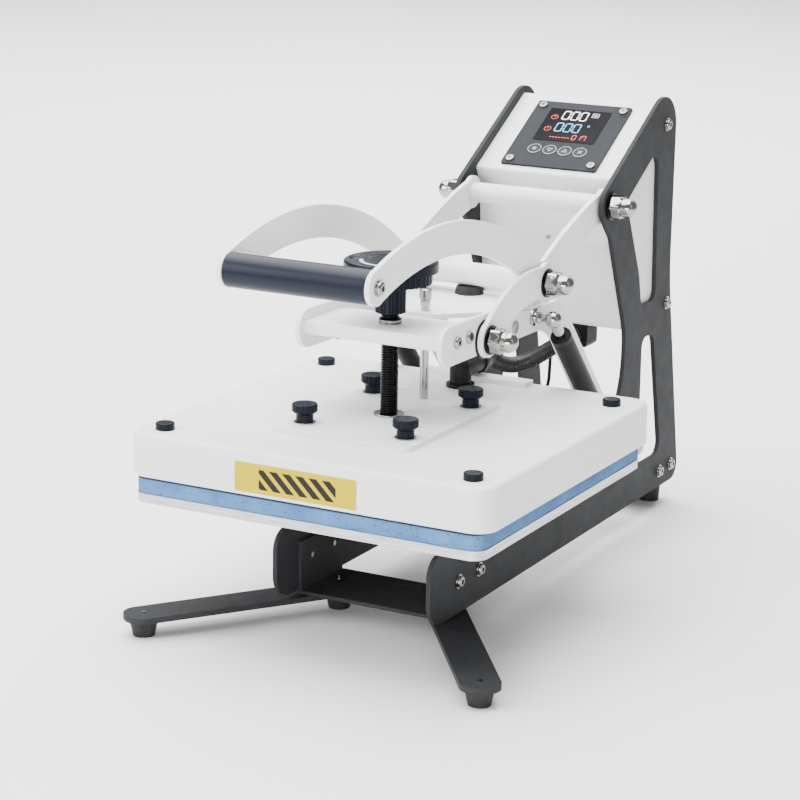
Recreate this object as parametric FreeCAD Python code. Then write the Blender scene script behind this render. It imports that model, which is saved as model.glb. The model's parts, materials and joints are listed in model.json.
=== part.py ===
import FreeCAD, Part
import math
import os
from FreeCAD import Rotation, Vector

# Clamshell heat press, in millimetres. +Z is up and the operator stands on the -Y side.
# The drawing's own zero lies 3 mm under the bench; MIDDLE is the point on the bench under the
# middle of the press, and every part is moved so that this point becomes the origin.
MIDDLE = (0.0, 2.46, 3.0)

# ---- driving dimensions ----
PLATE = 5.0                     # thickness of every flat steel plate
FRAME_IN = 84.0                 # inner face of each frame side plate, from the middle
FRAME_OUT = FRAME_IN + PLATE
ARM_OUT = 81.0                  # outer face of the arm plates and of the lever plates
ARM_IN = ARM_OUT - PLATE
LINK_IN = 83.0                  # inner face of the toggle links
LINK_OUT = LINK_IN + PLATE
FRAME_BOTTOM = 30.0             # underside of the side plates
BEAM_TOP = 113.0                # top edge of the side plates under the lower platen

# Pivot centres as (Y, Z)
HANDLE_PIVOT = (151.6, 388.6)   # handle lever on the frame
TOGGLE_PIVOT = (-5.6, 331.7)    # toggle link on the handle lever
ARM_PIVOT = (-136.8, 297.4)     # toggle link on the main arm
FRAME_PIVOT = (198.0, 112.0)    # main arm on the frame
GRIP_AXIS = (-358.0, 388.0)
STRUT_TOP = (-21.4, 298.0)      # gas strut on the main arm
STRUT_BOTTOM = (158.0, 110.0)   # gas strut on the frame
STRUT_X = 103.5
CONDUIT_R = 9.0

SHAFT_R = 8.0
RUN_FIT = 0.06                  # radial clearance of every running fit
FACE_GAP = 0.3                  # clearance between faces that slide past each other

# Platens
PAD_HALF = 190.0                # 380 mm square working surface
PAD_FRONT = -356.0
PAD_REAR = 22.0
PAD_CORNER = 15.0
LOWER_PLATE_Z = (145.0, 154.0)
PAD_TOP = 170.8
SUPPORT_Y = (-182.0, -30.0)     # channels under the lower platen
COVER_HALF = 197.0
COVER_FRONT = -357.0
COVER_REAR = 31.0
COVER_Z = (171.3, 214.5)
COVER_WALL = 1.5
COVER_CORNER = 21.0
HEAT_PLATE_TOP = 190.0

# Pressure screw, its four clamp knobs and their plate
PRESS_Y = -182.0
KNOB_PLATE_TOP = COVER_Z[1] + 5.0
KNOB_PLATE_HALF = (76.0, 102.0)
KNOB_X = 56.0
KNOB_Y = 70.0
SCREW_R = 9.0
CROSSBAR_Z = (299.0, 313.0)
CROSSBAR_Y = (-218.0, -151.0)
HUB_Z = (324.0, 354.0)
HUB_R = 15.5
RIBBED_R = 41.0
RIM_Z = (366.0, 377.0)
RIM_R = 47.0
GUIDE_PIN_Y = -107.0
GUIDE_PIN_R = 4.4
GUIDE_PLATE_Z = (306.5, 311.5)

# Control housing: its sloping top starts at the fold and rises towards the back
FOLD = (171.0, 413.3)
SLOPE = 30.0
HOUSING_HALF = 83.7
SHEET = 1.5
PANEL = (57.5, 9.0, 125.0)      # half width, and its lower and upper edge up the slope
SCREEN = (37.0, 54.5, 112.5)
PANEL_T = 2.5
BUTTON_X = (-27.6, -9.2, 9.2, 27.6)
BUTTON_UP = 38.5                # touch buttons, distance up the slope
HOUSING_BACK = 324.0
HOUSING_BOTTOM = 241.0
SWITCH_PIVOT = (HOUSING_BACK + 1.5, 277.0)
SWITCH_X = (-26.5, -11.5)
STUD_R = 3.0                    # studs under the clamp knobs

# Legs and feet
LEG_TIP = (186.4, -343.0)
LEG_END = (61.0, -170.0)
LEG_HALF_WIDTH = 20.0
BRACKET_FLOOR = 26.0            # underside of the U brackets, on which the legs are screwed
LEG_LOW = 20.0
REAR_FOOT = (64.0, 358.0)

YZ = Rotation(Vector(1, 1, 1), 120)      # turns a flat XY drawing into the YZ plane


# ---- drawing helpers ----
def rounded(corners):
    """A flat face from polygon corners given as (a, b, corner radius)."""
    starts, middles, ends = [], [], []
    for i, (a, b, radius) in enumerate(corners):
        here = Vector(a, b, 0)
        before = Vector(corners[i - 1][0], corners[i - 1][1], 0) - here
        after_corner = corners[(i + 1) % len(corners)]
        after = Vector(after_corner[0], after_corner[1], 0) - here
        half = before.getAngle(after) / 2
        before.normalize()
        after.normalize()
        inward = (before + after).normalize()
        cut = radius / math.tan(half)
        starts.append(here + before * cut)
        ends.append(here + after * cut)
        middles.append(here + inward * (radius / math.sin(half) - radius))
    edges = []
    for i, (start, middle, end) in enumerate(zip(starts, middles, ends)):
        if start.distanceToPoint(end) > 0.01:
            edges.append(Part.Arc(start, middle, end).toShape())
        following = starts[(i + 1) % len(starts)]
        if end.distanceToPoint(following) > 0.01:
            edges.append(Part.LineSegment(end, following).toShape())
    return Part.Face(Part.Wire(Part.sortEdges(edges)[0]))


def slab(face, low, high):
    """A flat XY face made into a plate from height low to height high."""
    solid = face.extrude(Vector(0, 0, high - low))
    solid.translate(Vector(0, 0, low))
    return solid


def side_slab(face, inner, outer):
    """A face drawn as (Y, Z) made into a plate from x = inner to x = outer."""
    solid = slab(face, inner, outer)
    solid.rotate(Vector(0, 0, 0), YZ.Axis, math.degrees(YZ.Angle))
    return solid


def box(low, high):
    size = Vector(*high) - Vector(*low)
    return Part.makeBox(size.x, size.y, size.z, Vector(*low))


def rod_x(centre, radius, start, end):
    """A round bar along X at (Y, Z) = centre."""
    low, high = min(start, end), max(start, end)
    return Part.makeCylinder(radius, high - low, Vector(low, *centre), Vector(1, 0, 0))


def rod_z(x, y, radius, low, high):
    return Part.makeCylinder(radius, high - low, Vector(x, y, low), Vector(0, 0, 1))


def tube_x(centre, outer, inner, start, end):
    return rod_x(centre, outer, start, end).cut(rod_x(centre, inner, start - 1, end + 1))


def join(shapes):
    return shapes[0].multiFuse(shapes[1:]).removeSplitter()


def mirrored(shape):
    return shape.mirror(Vector(0, 0, 0), Vector(1, 0, 0))


def both_sides(shape):
    return Part.makeCompound([shape, mirrored(shape)])


def arc_strip(start, middle, end, width):
    """A flat band of constant width along the arc through three (a, b) points."""
    points = [Vector(p[0], p[1], 0) for p in (start, middle, end)]
    curve = Part.Arc(*points).toShape().Curve
    rims = []
    for radius in (curve.Radius + width / 2, curve.Radius - width / 2):
        rims.append([curve.Center + (p - curve.Center).normalize() * radius for p in points])
    outer, inner = rims
    edges = [
        Part.Arc(*outer).toShape(),
        Part.LineSegment(outer[2], inner[2]).toShape(),
        Part.Arc(*inner).toShape(),
        Part.LineSegment(inner[0], outer[0]).toShape(),
    ]
    return Part.Face(Part.Wire(Part.sortEdges(edges)[0]))


def disc(centre, radius):
    return Part.Face(Part.Wire(Part.makeCircle(radius, Vector(centre[0], centre[1], 0))))


def hexagon(centre_x, centre_y, across_flats, turn=0.0):
    reach = across_flats / math.sqrt(3)
    corners = []
    for k in range(7):
        angle = math.radians(60 * k + turn)
        corners.append(Vector(centre_x + reach * math.cos(angle), centre_y + reach * math.sin(angle), 0))
    return Part.Face(Part.makePolygon(corners))


def fluted(solid, x, y, rim_r, groove_r, count, low, high):
    """Cuts evenly spaced round grooves into the rim of an upright round solid."""
    grooves = []
    for k in range(count):
        angle = 2 * math.pi * k / count
        grooves.append(rod_z(x + rim_r * math.cos(angle), y + rim_r * math.sin(angle), groove_r, low, high))
    return solid.cut(Part.makeCompound(grooves))


# ---- fasteners ----
def cap_nut(centre, face_x):
    """A washer and a domed cap nut standing out from x = face_x towards +X."""
    washer_r, washer_t = 15.0, 2.5
    flats, hex_t, dome_r, neck = 24.0, 13.0, 10.8, 4.0
    hex_x = face_x + washer_t
    dome_x = hex_x + hex_t + neck
    nut = side_slab(hexagon(centre[0], centre[1], flats), hex_x, hex_x + hex_t)
    bevel_cone = Part.makeCone(flats * 0.68, dome_r + 0.6, hex_t + 0.4, Vector(hex_x, *centre), Vector(1, 0, 0))
    nut = nut.common(bevel_cone)
    neck_rod = rod_x(centre, dome_r, hex_x + hex_t - 1, dome_x)
    dome = Part.makeSphere(dome_r, Vector(dome_x, *centre))
    return join([rod_x(centre, washer_r, face_x, hex_x), nut, neck_rod, dome])


def button_screw_x(centre, face_x, head_r=6.0, head_t=3.6, washer_r=0.0):
    """A round-headed socket screw on the face x = face_x, standing out towards +X."""
    start = face_x
    pieces = []
    if washer_r:
        pieces.append(rod_x(centre, washer_r, face_x, face_x + 1.2))
        start += 1.2
    head = rod_x(centre, head_r, start, start + head_t)
    head = head.makeFillet(head_t * 0.6, [head.Edges[i] for i in outer_rim(head, start + head_t)])
    head = head.cut(side_slab(hexagon(centre[0], centre[1], head_r * 0.8), start + head_t - 2, start + head_t + 1))
    pieces.append(head)
    return join(pieces) if len(pieces) > 1 else head


def outer_rim(shape, x):
    """Indices of the edges of shape that lie in the plane at x."""
    found = []
    for i, edge in enumerate(shape.Edges):
        bounds = edge.BoundBox
        if abs(bounds.XMin - x) < 0.01 and abs(bounds.XMax - x) < 0.01:
            found.append(i)
    return found


# ---- frame ----
def side_plate():
    """The right frame plate: low front beam, curved column and two windows."""
    y, z = HANDLE_PIVOT
    knuckle = 22.0
    outline = rounded([
        (-257, FRAME_BOTTOM, 26),
        (-257, 97, 20),
        (-205, BEAM_TOP, 40),
        (206, BEAM_TOP, 100),
        (208, 238, 70),
        (156, 353, 15),
        (y - knuckle, z - 9.5, knuckle),
        (y - knuckle, z + 12.8, knuckle),
        (331, 517.6, 36.6),
        (331.5, 281, 300),
        (384.12, FRAME_BOTTOM, 18),
    ])
    plate = side_slab(outline, FRAME_IN, FRAME_OUT)
    upper_window = rounded([
        (196, 386.8, 9),
        (282, 436.5, 14),
        (290.5, 261, 12),
        (249, 261, 8),
        (240, 298, 60),
    ])
    lower_window = rounded([(256, 222, 12), (289, 222, 15), (325, 72, 14), (258, 72, 12)])
    for window in (upper_window, lower_window):
        plate = plate.cut(side_slab(window, FRAME_IN - 1, FRAME_OUT + 1))
    for pivot in (HANDLE_PIVOT, FRAME_PIVOT):
        plate = plate.cut(rod_x(pivot, SHAFT_R, FRAME_IN - 1, FRAME_OUT + 1))
    return plate


def bracket(front, rear, flange_top):
    """A folded U bracket between the side plates."""
    wall = FRAME_BOTTOM - BRACKET_FLOOR
    outer = box((-FRAME_IN, front, BRACKET_FLOOR), (FRAME_IN, rear, flange_top))
    inner = box((-FRAME_IN + wall, front - 1, FRAME_BOTTOM), (FRAME_IN - wall, rear + 1, flange_top + 1))
    return outer.cut(inner)


def leg():
    """A flat bar under the right side plate, splayed forwards and outwards."""
    along = Vector(LEG_END[0] - LEG_TIP[0], LEG_END[1] - LEG_TIP[1], 0)
    length = along.Length
    half = LEG_HALF_WIDTH
    bar = slab(rounded([
        (-half, -half, half - 2),
        (length + half, -half, half - 8),
        (length + half, half, half - 8),
        (-half, half, half - 2),
    ]), LEG_LOW, BRACKET_FLOOR)
    bar.rotate(Vector(0, 0, 0), Vector(0, 0, 1), math.degrees(math.atan2(along.y, along.x)))
    bar.translate(Vector(LEG_TIP[0], LEG_TIP[1], 0))
    return bar


def foot(x, y, top, top_r, bottom_r):
    """A tapered rubber foot from the bench up to height top."""
    bench = MIDDLE[2]
    return Part.makeCone(bottom_r, top_r, top - bench, Vector(x, y, bench), Vector(0, 0, 1))


def front_feet():
    """The feet under both ends of each leg."""
    tip = foot(*LEG_TIP, LEG_LOW, 14.7, 11.0)
    inner = foot(*LEG_END, LEG_LOW, 14.7, 11.0)
    return Part.makeCompound([tip, mirrored(tip), inner, mirrored(inner)])


def platen_support(y):
    """A channel, open at the bottom, that carries the lower platen on the two side plates."""
    half_x, half_y, wall = 118.0, 22.0, 4.0
    top = LOWER_PLATE_Z[0]
    outer = box((-half_x, y - half_y, BEAM_TOP), (half_x, y + half_y, top))
    inner = box((-half_x - 1, y - half_y + wall, BEAM_TOP - 1), (half_x + 1, y + half_y - wall, top - wall))
    return outer.cut(inner)


def working_slab(half, front, rear, corner, low, high):
    face = rounded([(-half, front, corner), (half, front, corner), (half, rear, corner), (-half, rear, corner)])
    return slab(face, low, high)


def on_slope(shape):
    """Moves a shape drawn flat, with Y up the slope and Z out of it, onto the sloping top."""
    shape.rotate(Vector(0, 0, 0), Vector(1, 0, 0), SLOPE)
    shape.translate(Vector(0, *FOLD))
    return shape


def housing_outline():
    return rounded([
        (204, HOUSING_BOTTOM, 4),
        (187, 335, 120),
        (182, 395, 40),
        (FOLD[0], FOLD[1], 3),
        (FOLD[0] + 140 * math.cos(math.radians(SLOPE)), FOLD[1] + 140 * math.sin(math.radians(SLOPE)), 6),
        (HOUSING_BACK, 474, 16),
        (HOUSING_BACK, HOUSING_BOTTOM, 10),
    ])


def control_housing():
    """The sheet-metal box between the side plates."""
    outline = housing_outline()
    skin = side_slab(outline, -HOUSING_HALF, HOUSING_HALF)
    inner_wire = outline.OuterWire.makeOffset2D(-SHEET)
    inside = side_slab(Part.Face(inner_wire), -HOUSING_HALF + SHEET, HOUSING_HALF - SHEET)
    return skin.cut(inside).cut(switch_well())


def control_panel():
    half, low, high = PANEL
    face = rounded([(-half, low, 3), (half, low, 3), (half, high, 3), (-half, high, 3)])
    return on_slope(slab(face, 0, PANEL_T))


def display_window():
    half, low, high = SCREEN
    face = rounded([(-half, low, 1), (half, low, 1), (half, high, 1), (-half, high, 1)])
    return on_slope(slab(face, PANEL_T, PANEL_T + 0.5))


def touch_buttons():
    """Four round touch buttons in a row under the display."""
    return Part.makeCompound([on_slope(rod_z(x, BUTTON_UP, 7.5, PANEL_T, PANEL_T + 0.6)) for x in BUTTON_X])


def panel_screws():
    """Pan-head screws at the panel's four corners."""
    screws = []
    half, low, high = PANEL
    inset = 8.5
    for x in (-half + inset, half - inset):
        for up in (low + inset, high - inset):
            head = rod_z(x, up, 5.0, PANEL_T, PANEL_T + 2.2)
            head = head.makeFillet(1.2, [e for e in head.Edges if e.BoundBox.ZMin > PANEL_T + 2])
            slot = box((x - 3, up - 0.5, PANEL_T + 1.4), (x + 3, up + 0.5, PANEL_T + 3))
            cross = box((x - 0.5, up - 3, PANEL_T + 1.4), (x + 0.5, up + 3, PANEL_T + 3))
            screws.append(on_slope(head.cut(slot).cut(cross)))
    return Part.makeCompound(screws)


def frame_screw_places():
    """(Y, Z) of the screws that hold the brackets and the housing to each side plate."""
    return [(302.8, 459.4), (324.0, 251.0), (357.7, 50.3), (323.8, 49.5), (-196.2, 63.8), (-150.5, 63.6)]


def strut_stud(pivot, face_x, neck_end):
    """A washer, a neck and the pin that one end of a gas strut turns on."""
    washer = rod_x(pivot, 9.5, face_x, face_x + 3)
    neck = rod_x(pivot, 6.0, face_x + 3, neck_end)
    pin = rod_x(pivot, 4.0, neck_end, STRUT_X + 6)
    return join([washer, neck, pin])


def frame_fasteners():
    pieces = []
    for place in frame_screw_places():
        pieces.append(button_screw_x(place, FRAME_OUT, washer_r=7.5))
    pieces.append(strut_stud(STRUT_BOTTOM, FRAME_OUT, STRUT_X - 9.5))
    pieces.append(rod_z(*LEG_TIP, 2.7, BRACKET_FLOOR, BRACKET_FLOOR + 1))
    floor_top = BRACKET_FLOOR + PLATE
    leg_nut = slab(hexagon(*LEG_END, 8.0), floor_top, floor_top + 3.0)
    pieces.append(join([leg_nut, rod_z(*LEG_END, 2.7, floor_top, floor_top + 7.0)]))
    for place in frame_screw_places()[4:]:
        pieces.append(rod_x(place, 3.0, FRAME_IN - PLATE - 1.2, FRAME_IN - PLATE))
    return Part.makeCompound([both for piece in pieces for both in (piece, mirrored(piece))])


def pivot_bolt(pivot, nut_face, spacer_r):
    """A shaft across the press with cap nuts outside and spacer washers inside."""
    shaft = rod_x(pivot, SHAFT_R, -nut_face - 1, nut_face + 1)
    pieces = [shaft]
    for side in (1, -1):
        nut = cap_nut(pivot, nut_face)
        spacer = rod_x(pivot, spacer_r, ARM_OUT + FACE_GAP, FRAME_IN)
        for piece in (nut, spacer):
            pieces.append(piece if side == 1 else mirrored(piece))
    return join(pieces)


def conduit_gland():
    """The black cable entry under the housing."""
    block = box((17, 206, 214), (43, 234, HOUSING_BOTTOM))
    return block.makeFillet(6, [e for e in block.Edges if e.BoundBox.ZMax < 214.1])


def switch_well():
    """The opening that the rocker moves in, through the housing's back and the inlet's flange."""
    x_low, x_high = SWITCH_X
    z = SWITCH_PIVOT[1]
    return box((x_low - 0.6, HOUSING_BACK - 5, z - 10.5), (x_high + 0.6, HOUSING_BACK + 5, z + 10.5))


def switch_pin(radius):
    return rod_x(SWITCH_PIVOT, radius, SWITCH_X[0] - 2.6, SWITCH_X[1] + 2.6)


def power_inlet():
    """A mains inlet and the frame of the power switch, on the housing's back."""
    back = HOUSING_BACK
    flange = box((-64, back, 262), (-6, back + 3, 292))
    socket = box((-60, back + 1.0, 266), (-33, back + 4, 288))
    pins = [box((-54 + 6 * k, back + 0.9, 275), (-52 + 6 * k, back + 2.6, 279)) for k in range(3)]
    return flange.cut(socket).cut(switch_well()).cut(switch_pin(0.85)).multiFuse(pins)


def power_switch():
    """The rocker on its pin, lying in the off position with its lower half standing out."""
    back = HOUSING_BACK
    y, z = SWITCH_PIVOT
    rocker = side_slab(rounded([
        (back - 0.2, z - 8.5, 0.5),
        (back + 5.2, z - 8.5, 0.5),
        (back + 3.4, z, 3),
        (back + 3.4, z + 8.5, 0.5),
        (back - 0.2, z + 8.5, 0.5),
    ]), *SWITCH_X)
    return join([rocker, switch_pin(0.8)])


def sensor_wire():
    """The thin wire from the housing to the lid switch on the left side plate."""
    route = [
        (-4, 212, HOUSING_BOTTOM), (-4, 212, 192), (-6, 213, 160),
        (-26, 221, 136), (-51, 236, 125), (-74, 240, 124),
    ]
    return hose(route, 2.0)


def lid_switch():
    """The small sealed switch inside the left side plate that tells when the press is shut."""
    block = box((-FRAME_IN, 230, 112), (-74, 250, 136))
    return block.makeFillet(2, [e for e in block.Edges if e.BoundBox.XMax < -73.9 and e.BoundBox.XMin > -74.1])


# ---- main arm ----
def arm_plate():
    """The right main arm: straight in front, then bent down to the frame pivot."""
    y, z = FRAME_PIVOT
    tail = math.radians(-48.0)
    along = Vector(math.cos(tail), math.sin(tail), 0)
    across = Vector(-along.y, along.x, 0)
    end_r = 22.0
    low_end = Vector(y, z, 0) + along * end_r - across * end_r
    high_end = Vector(y, z, 0) + along * end_r + across * end_r
    outline = rounded([
        (-229, 324, 18),
        (-229, 284.5, 19),
        (16, 281, 70),
        (low_end.x, low_end.y, end_r - 0.6),
        (high_end.x, high_end.y, end_r - 0.6),
        (47, 305.5, 25),
        (-30, 305, 60),
        (-105, 322, 60),
    ])
    plate = side_slab(outline, ARM_IN, ARM_OUT)
    plate = plate.cut(rod_x(FRAME_PIVOT, SHAFT_R + RUN_FIT, ARM_IN - 1, ARM_OUT + 1))
    return plate


def crossbar():
    """The flat bar that joins the two arm plates and holds the pressure screw."""
    front, rear = CROSSBAR_Y
    bar = box((-ARM_IN, front, CROSSBAR_Z[0]), (ARM_IN, rear, CROSSBAR_Z[1]))
    long_edges = [e for e in bar.Edges if e.BoundBox.XLength > 100 and abs(e.BoundBox.YMin - front) < 0.1]
    bar = bar.makeFillet(2.0, long_edges)
    return bar.cut(rod_z(0, PRESS_Y, SCREW_R + 0.1, CROSSBAR_Z[0] - 1, CROSSBAR_Z[1] + 1))


def arm_screws():
    """The screws into the crossbar and the guide plate, and the collar the pressure screw turns in."""
    pieces = []
    for y in (-196.0, -170.0):
        pieces.append(button_screw_x((y, 305.5), ARM_OUT, head_r=6.2, head_t=3.4))
    pieces.append(button_screw_x((-65.0, 295.5), ARM_OUT, head_r=7.0, head_t=1.6))
    collar = rod_z(0, PRESS_Y, 11.5, CROSSBAR_Z[1], CROSSBAR_Z[1] + 4)
    collar = collar.cut(rod_z(0, PRESS_Y, SCREW_R + 0.1, CROSSBAR_Z[1] - 1, CROSSBAR_Z[1] + 5))
    return Part.makeCompound([both for piece in pieces for both in (piece, mirrored(piece))] + [collar])


def front_pivot_nuts():
    """Stub shafts, thin washers and cap nuts on which the toggle links turn."""
    stub = rod_x(ARM_PIVOT, SHAFT_R, ARM_OUT, LINK_OUT + 1)
    washer = rod_x(ARM_PIVOT, 20.0, ARM_OUT, LINK_IN - FACE_GAP)
    nut = cap_nut(ARM_PIVOT, LINK_OUT + FACE_GAP)
    return both_sides(join([stub, washer, nut]))


def guide_plate():
    """A folded plate between the arms, with the hole that the guide pin slides in."""
    low, high = GUIDE_PLATE_Z
    top = slab(rounded([
        (-16, -120, 12), (16, -120, 12), (58, -79, 20), (ARM_IN, -75, 2),
        (ARM_IN, 10, 2), (-ARM_IN, 10, 2), (-ARM_IN, -75, 2), (-58, -79, 20),
    ]), low, high)
    flange = box((ARM_IN - 4, -73, 286), (ARM_IN, -20, low + 1))
    plate = join([top, flange, mirrored(flange)])
    return plate.cut(rod_z(0, GUIDE_PIN_Y, GUIDE_PIN_R + RUN_FIT, low - 1, high + 1))


def toggle_bumper():
    """The rubber stop under the lever's cross tube, which sets how far the toggle locks."""
    base = GUIDE_PLATE_Z[1]
    top = TOGGLE_PIVOT[1] - 12.0 - FACE_GAP
    y = -8.0
    cone = Part.makeCone(15.5, 13.5, top - base, Vector(0, y, base), Vector(0, 0, 1))
    return fluted(cone, 0, y, 16.0, 1.6, 12, base - 1, top + 1)


# ---- handle lever and toggle links ----
def lever_plate():
    """The right handle lever: a long arched arm to the grip and a short one to the frame."""
    pieces = [
        arc_strip(GRIP_AXIS, (-229.5, 410.5), TOGGLE_PIVOT, 33.0),
        arc_strip(TOGGLE_PIVOT, (75, 366.5), HANDLE_PIVOT, 32.0),
        disc(GRIP_AXIS, 17.0),
        disc(TOGGLE_PIVOT, 22.0),
        disc(HANDLE_PIVOT, 18.0),
    ]
    plate = join([side_slab(face, ARM_IN, ARM_OUT) for face in pieces])
    return plate.cut(rod_x(HANDLE_PIVOT, SHAFT_R + RUN_FIT, ARM_IN - 1, ARM_OUT + 1))


def grip():
    """The round grip between the two levers."""
    bar = rod_x(GRIP_AXIS, 16.5, -ARM_IN, ARM_IN)
    return bar.makeFillet(1.5, [e for e in bar.Edges if e.BoundBox.XLength < 0.1])


def handle_screws():
    screw = button_screw_x(GRIP_AXIS, ARM_OUT, head_r=6.6, head_t=4.2, washer_r=8.0)
    return both_sides(screw)


def link_plate():
    """The right toggle link, an arched strap outside the arm and the lever."""
    strap = [
        arc_strip(ARM_PIVOT, (-73.5, 329.5), TOGGLE_PIVOT, 33.0),
        disc(ARM_PIVOT, 18.0),
        disc(TOGGLE_PIVOT, 21.0),
    ]
    plate = join([side_slab(face, LINK_IN, LINK_OUT) for face in strap])
    return plate.cut(rod_x(ARM_PIVOT, SHAFT_R + RUN_FIT, LINK_IN - 1, LINK_OUT + 1))


def middle_pivot_nuts():
    """The cap nuts and inner washers at the links' upper ends."""
    washer = rod_x(TOGGLE_PIVOT, 16.0, ARM_OUT + FACE_GAP, LINK_IN)
    nut = cap_nut(TOGGLE_PIVOT, LINK_OUT)
    return both_sides(Part.makeCompound([washer, nut]))


# ---- upper platen ----
def platen_cover():
    """The shallow white cover over the heating plate, open underneath, with a bar along its rear."""
    low, high = COVER_Z
    outer = working_slab(COVER_HALF, COVER_FRONT, COVER_REAR, COVER_CORNER, low, high)
    outer = outer.makeFillet(6.0, [e for e in outer.Edges if e.BoundBox.ZMin > high - 0.01])
    inner = working_slab(
        COVER_HALF - COVER_WALL, COVER_FRONT + COVER_WALL, COVER_REAR - COVER_WALL,
        COVER_CORNER - COVER_WALL, low - 1, high - COVER_WALL,
    )
    inner = inner.makeFillet(4.5, [e for e in inner.Edges if e.BoundBox.ZMin > high - COVER_WALL - 0.01])
    bar = box((-62, 4, high - 1), (62, COVER_REAR - 7, high + 5))
    return join([outer.cut(inner), bar])


def knob_plate():
    half_x, half_y = KNOB_PLATE_HALF
    return working_slab(half_x, PRESS_Y - half_y, PRESS_Y + half_y, 8.0, COVER_Z[1], KNOB_PLATE_TOP)


def clamp_knob_places():
    return [(x, PRESS_Y + y) for x in (-KNOB_X, KNOB_X) for y in (-KNOB_Y, KNOB_Y)]


def clamp_knob(x, y):
    """One fluted mushroom knob that clamps the platen to its plate."""
    base = KNOB_PLATE_TOP + 1.0 + FACE_GAP
    stem_top = base + 7.0
    cap_low = base + 10.5
    top = base + 18.0
    stem = rod_z(x, y, 8.7, base, stem_top)
    neck = Part.makeCone(8.7, 12.8, cap_low - stem_top, Vector(x, y, stem_top), Vector(0, 0, 1))
    cap = rod_z(x, y, 12.8, cap_low, top)
    cap = cap.makeFillet(1.5, [e for e in cap.Edges if e.BoundBox.ZMin > top - 0.01])
    knob = join([stem, neck, cap]).cut(rod_z(x, y, STUD_R + RUN_FIT, base - 1, base + 11))
    return fluted(knob, x, y, 13.6, 1.5, 16, stem_top - 1, top + 1)


def cover_plugs():
    """Round caps over the cover's four corner screws."""
    plugs = []
    for x in (-168.0, 168.0):
        for y in (-330.0, -13.0):
            plug = rod_z(x, y, 9.5, COVER_Z[1], COVER_Z[1] + 7.0)
            plugs.append(plug.makeFillet(1.5, [e for e in plug.Edges if e.BoundBox.ZMin > COVER_Z[1] + 6.9]))
    return Part.makeCompound(plugs)


def guide_pin():
    """The pin with a socket head that keeps the platen from turning."""
    shank = rod_z(0, GUIDE_PIN_Y, GUIDE_PIN_R, KNOB_PLATE_TOP, 317.0)
    collar = rod_z(0, GUIDE_PIN_Y, 5.3, 316.0, 324.0)
    head = rod_z(0, GUIDE_PIN_Y, 6.4, 323.5, 334.5)
    head = head.cut(slab(hexagon(0, GUIDE_PIN_Y, 6.0), 330.0, 335.0))
    return join([shank, collar, head])


def knob_plate_hardware():
    """The pressure screw's flanged seat, and a washer and a stud for each clamp knob."""
    top = KNOB_PLATE_TOP
    seat = rod_z(0, PRESS_Y, 15.5, top, top + 2.0)
    pieces = [seat.makeFillet(0.8, [e for e in seat.Edges if e.BoundBox.ZMin > top + 1.9])]
    for x, y in clamp_knob_places():
        pieces.append(join([rod_z(x, y, 11.0, top, top + 1.0), rod_z(x, y, STUD_R, top, top + 11.0)]))
    return Part.makeCompound(pieces)


def elbow_fitting():
    """The elbow on the cover that the heater wires leave through."""
    y, low = -24.0, COVER_Z[1]
    flange = rod_z(0, y, 15.0, low, low + 4)
    riser = rod_z(0, y, 11.5, low, low + 19)
    corner = Part.makeSphere(11.5, Vector(0, y, low + 19))
    outlet = Part.makeCylinder(11.5, 38.0, Vector(0, y, low + 19), Vector(0, 1, 0))
    ring = Part.makeCylinder(13.0, 6.0, Vector(0, y + 38, low + 19), Vector(0, 1, 0))
    return join([flange, riser, corner, outlet, ring])


def pressure_screw():
    """The threaded rod, from its seat up to the hub."""
    return rod_z(0, PRESS_Y, SCREW_R, KNOB_PLATE_TOP + 2.0 + FACE_GAP, HUB_Z[0])


def pressure_knob():
    """The large hand wheel: a fluted hub, a ribbed disc and a wider rim with a shallow dish."""
    hub = rod_z(0, PRESS_Y, HUB_R, *HUB_Z)
    hub = fluted(hub, 0, PRESS_Y, HUB_R + 0.6, 2.0, 12, HUB_Z[0] - 1, HUB_Z[1] - 3)
    ribbed = rod_z(0, PRESS_Y, RIBBED_R, HUB_Z[1], RIM_Z[0])
    ribbed = fluted(ribbed, 0, PRESS_Y, RIBBED_R + 0.6, 1.8, 40, HUB_Z[1] - 1, RIM_Z[0])
    low, high = RIM_Z
    rim = rod_z(0, PRESS_Y, RIM_R, low, high)
    rim = rim.makeFillet(3.0, [e for e in rim.Edges if e.BoundBox.ZMin > high - 0.01])
    dish = Part.makeCone(RIM_R - 8, RIM_R - 5, 1.6, Vector(0, PRESS_Y, high - 1.6), Vector(0, 0, 1))
    return join([hub, ribbed, rim]).cut(dish)


# ---- gas struts ----
def strut_direction():
    return Vector(0, STRUT_BOTTOM[0] - STRUT_TOP[0], STRUT_BOTTOM[1] - STRUT_TOP[1])


def along_strut(distance):
    """A point on the right strut's axis, distance from its upper pivot."""
    return Vector(STRUT_X, *STRUT_TOP) + strut_direction().normalize() * distance


def strut_cylinder():
    """The strut's body with its rounded end socket on the main arm."""
    axis = strut_direction()
    socket = Part.makeSphere(8.8, along_strut(0))
    neck = Part.makeCylinder(5.9, 30.0, along_strut(0), axis)
    collar = Part.makeCylinder(11.3, 6.5, along_strut(28), axis)
    body = Part.makeCylinder(11.0, 115.0, along_strut(34), axis)
    pin_hole = rod_x(STRUT_TOP, 4.0 + RUN_FIT, STRUT_X - 12, STRUT_X + 12)
    bore = Part.makeCylinder(4.3, 110.0, along_strut(45), axis)
    return join([socket, neck, collar, body]).cut(pin_hole).cut(bore)


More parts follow.
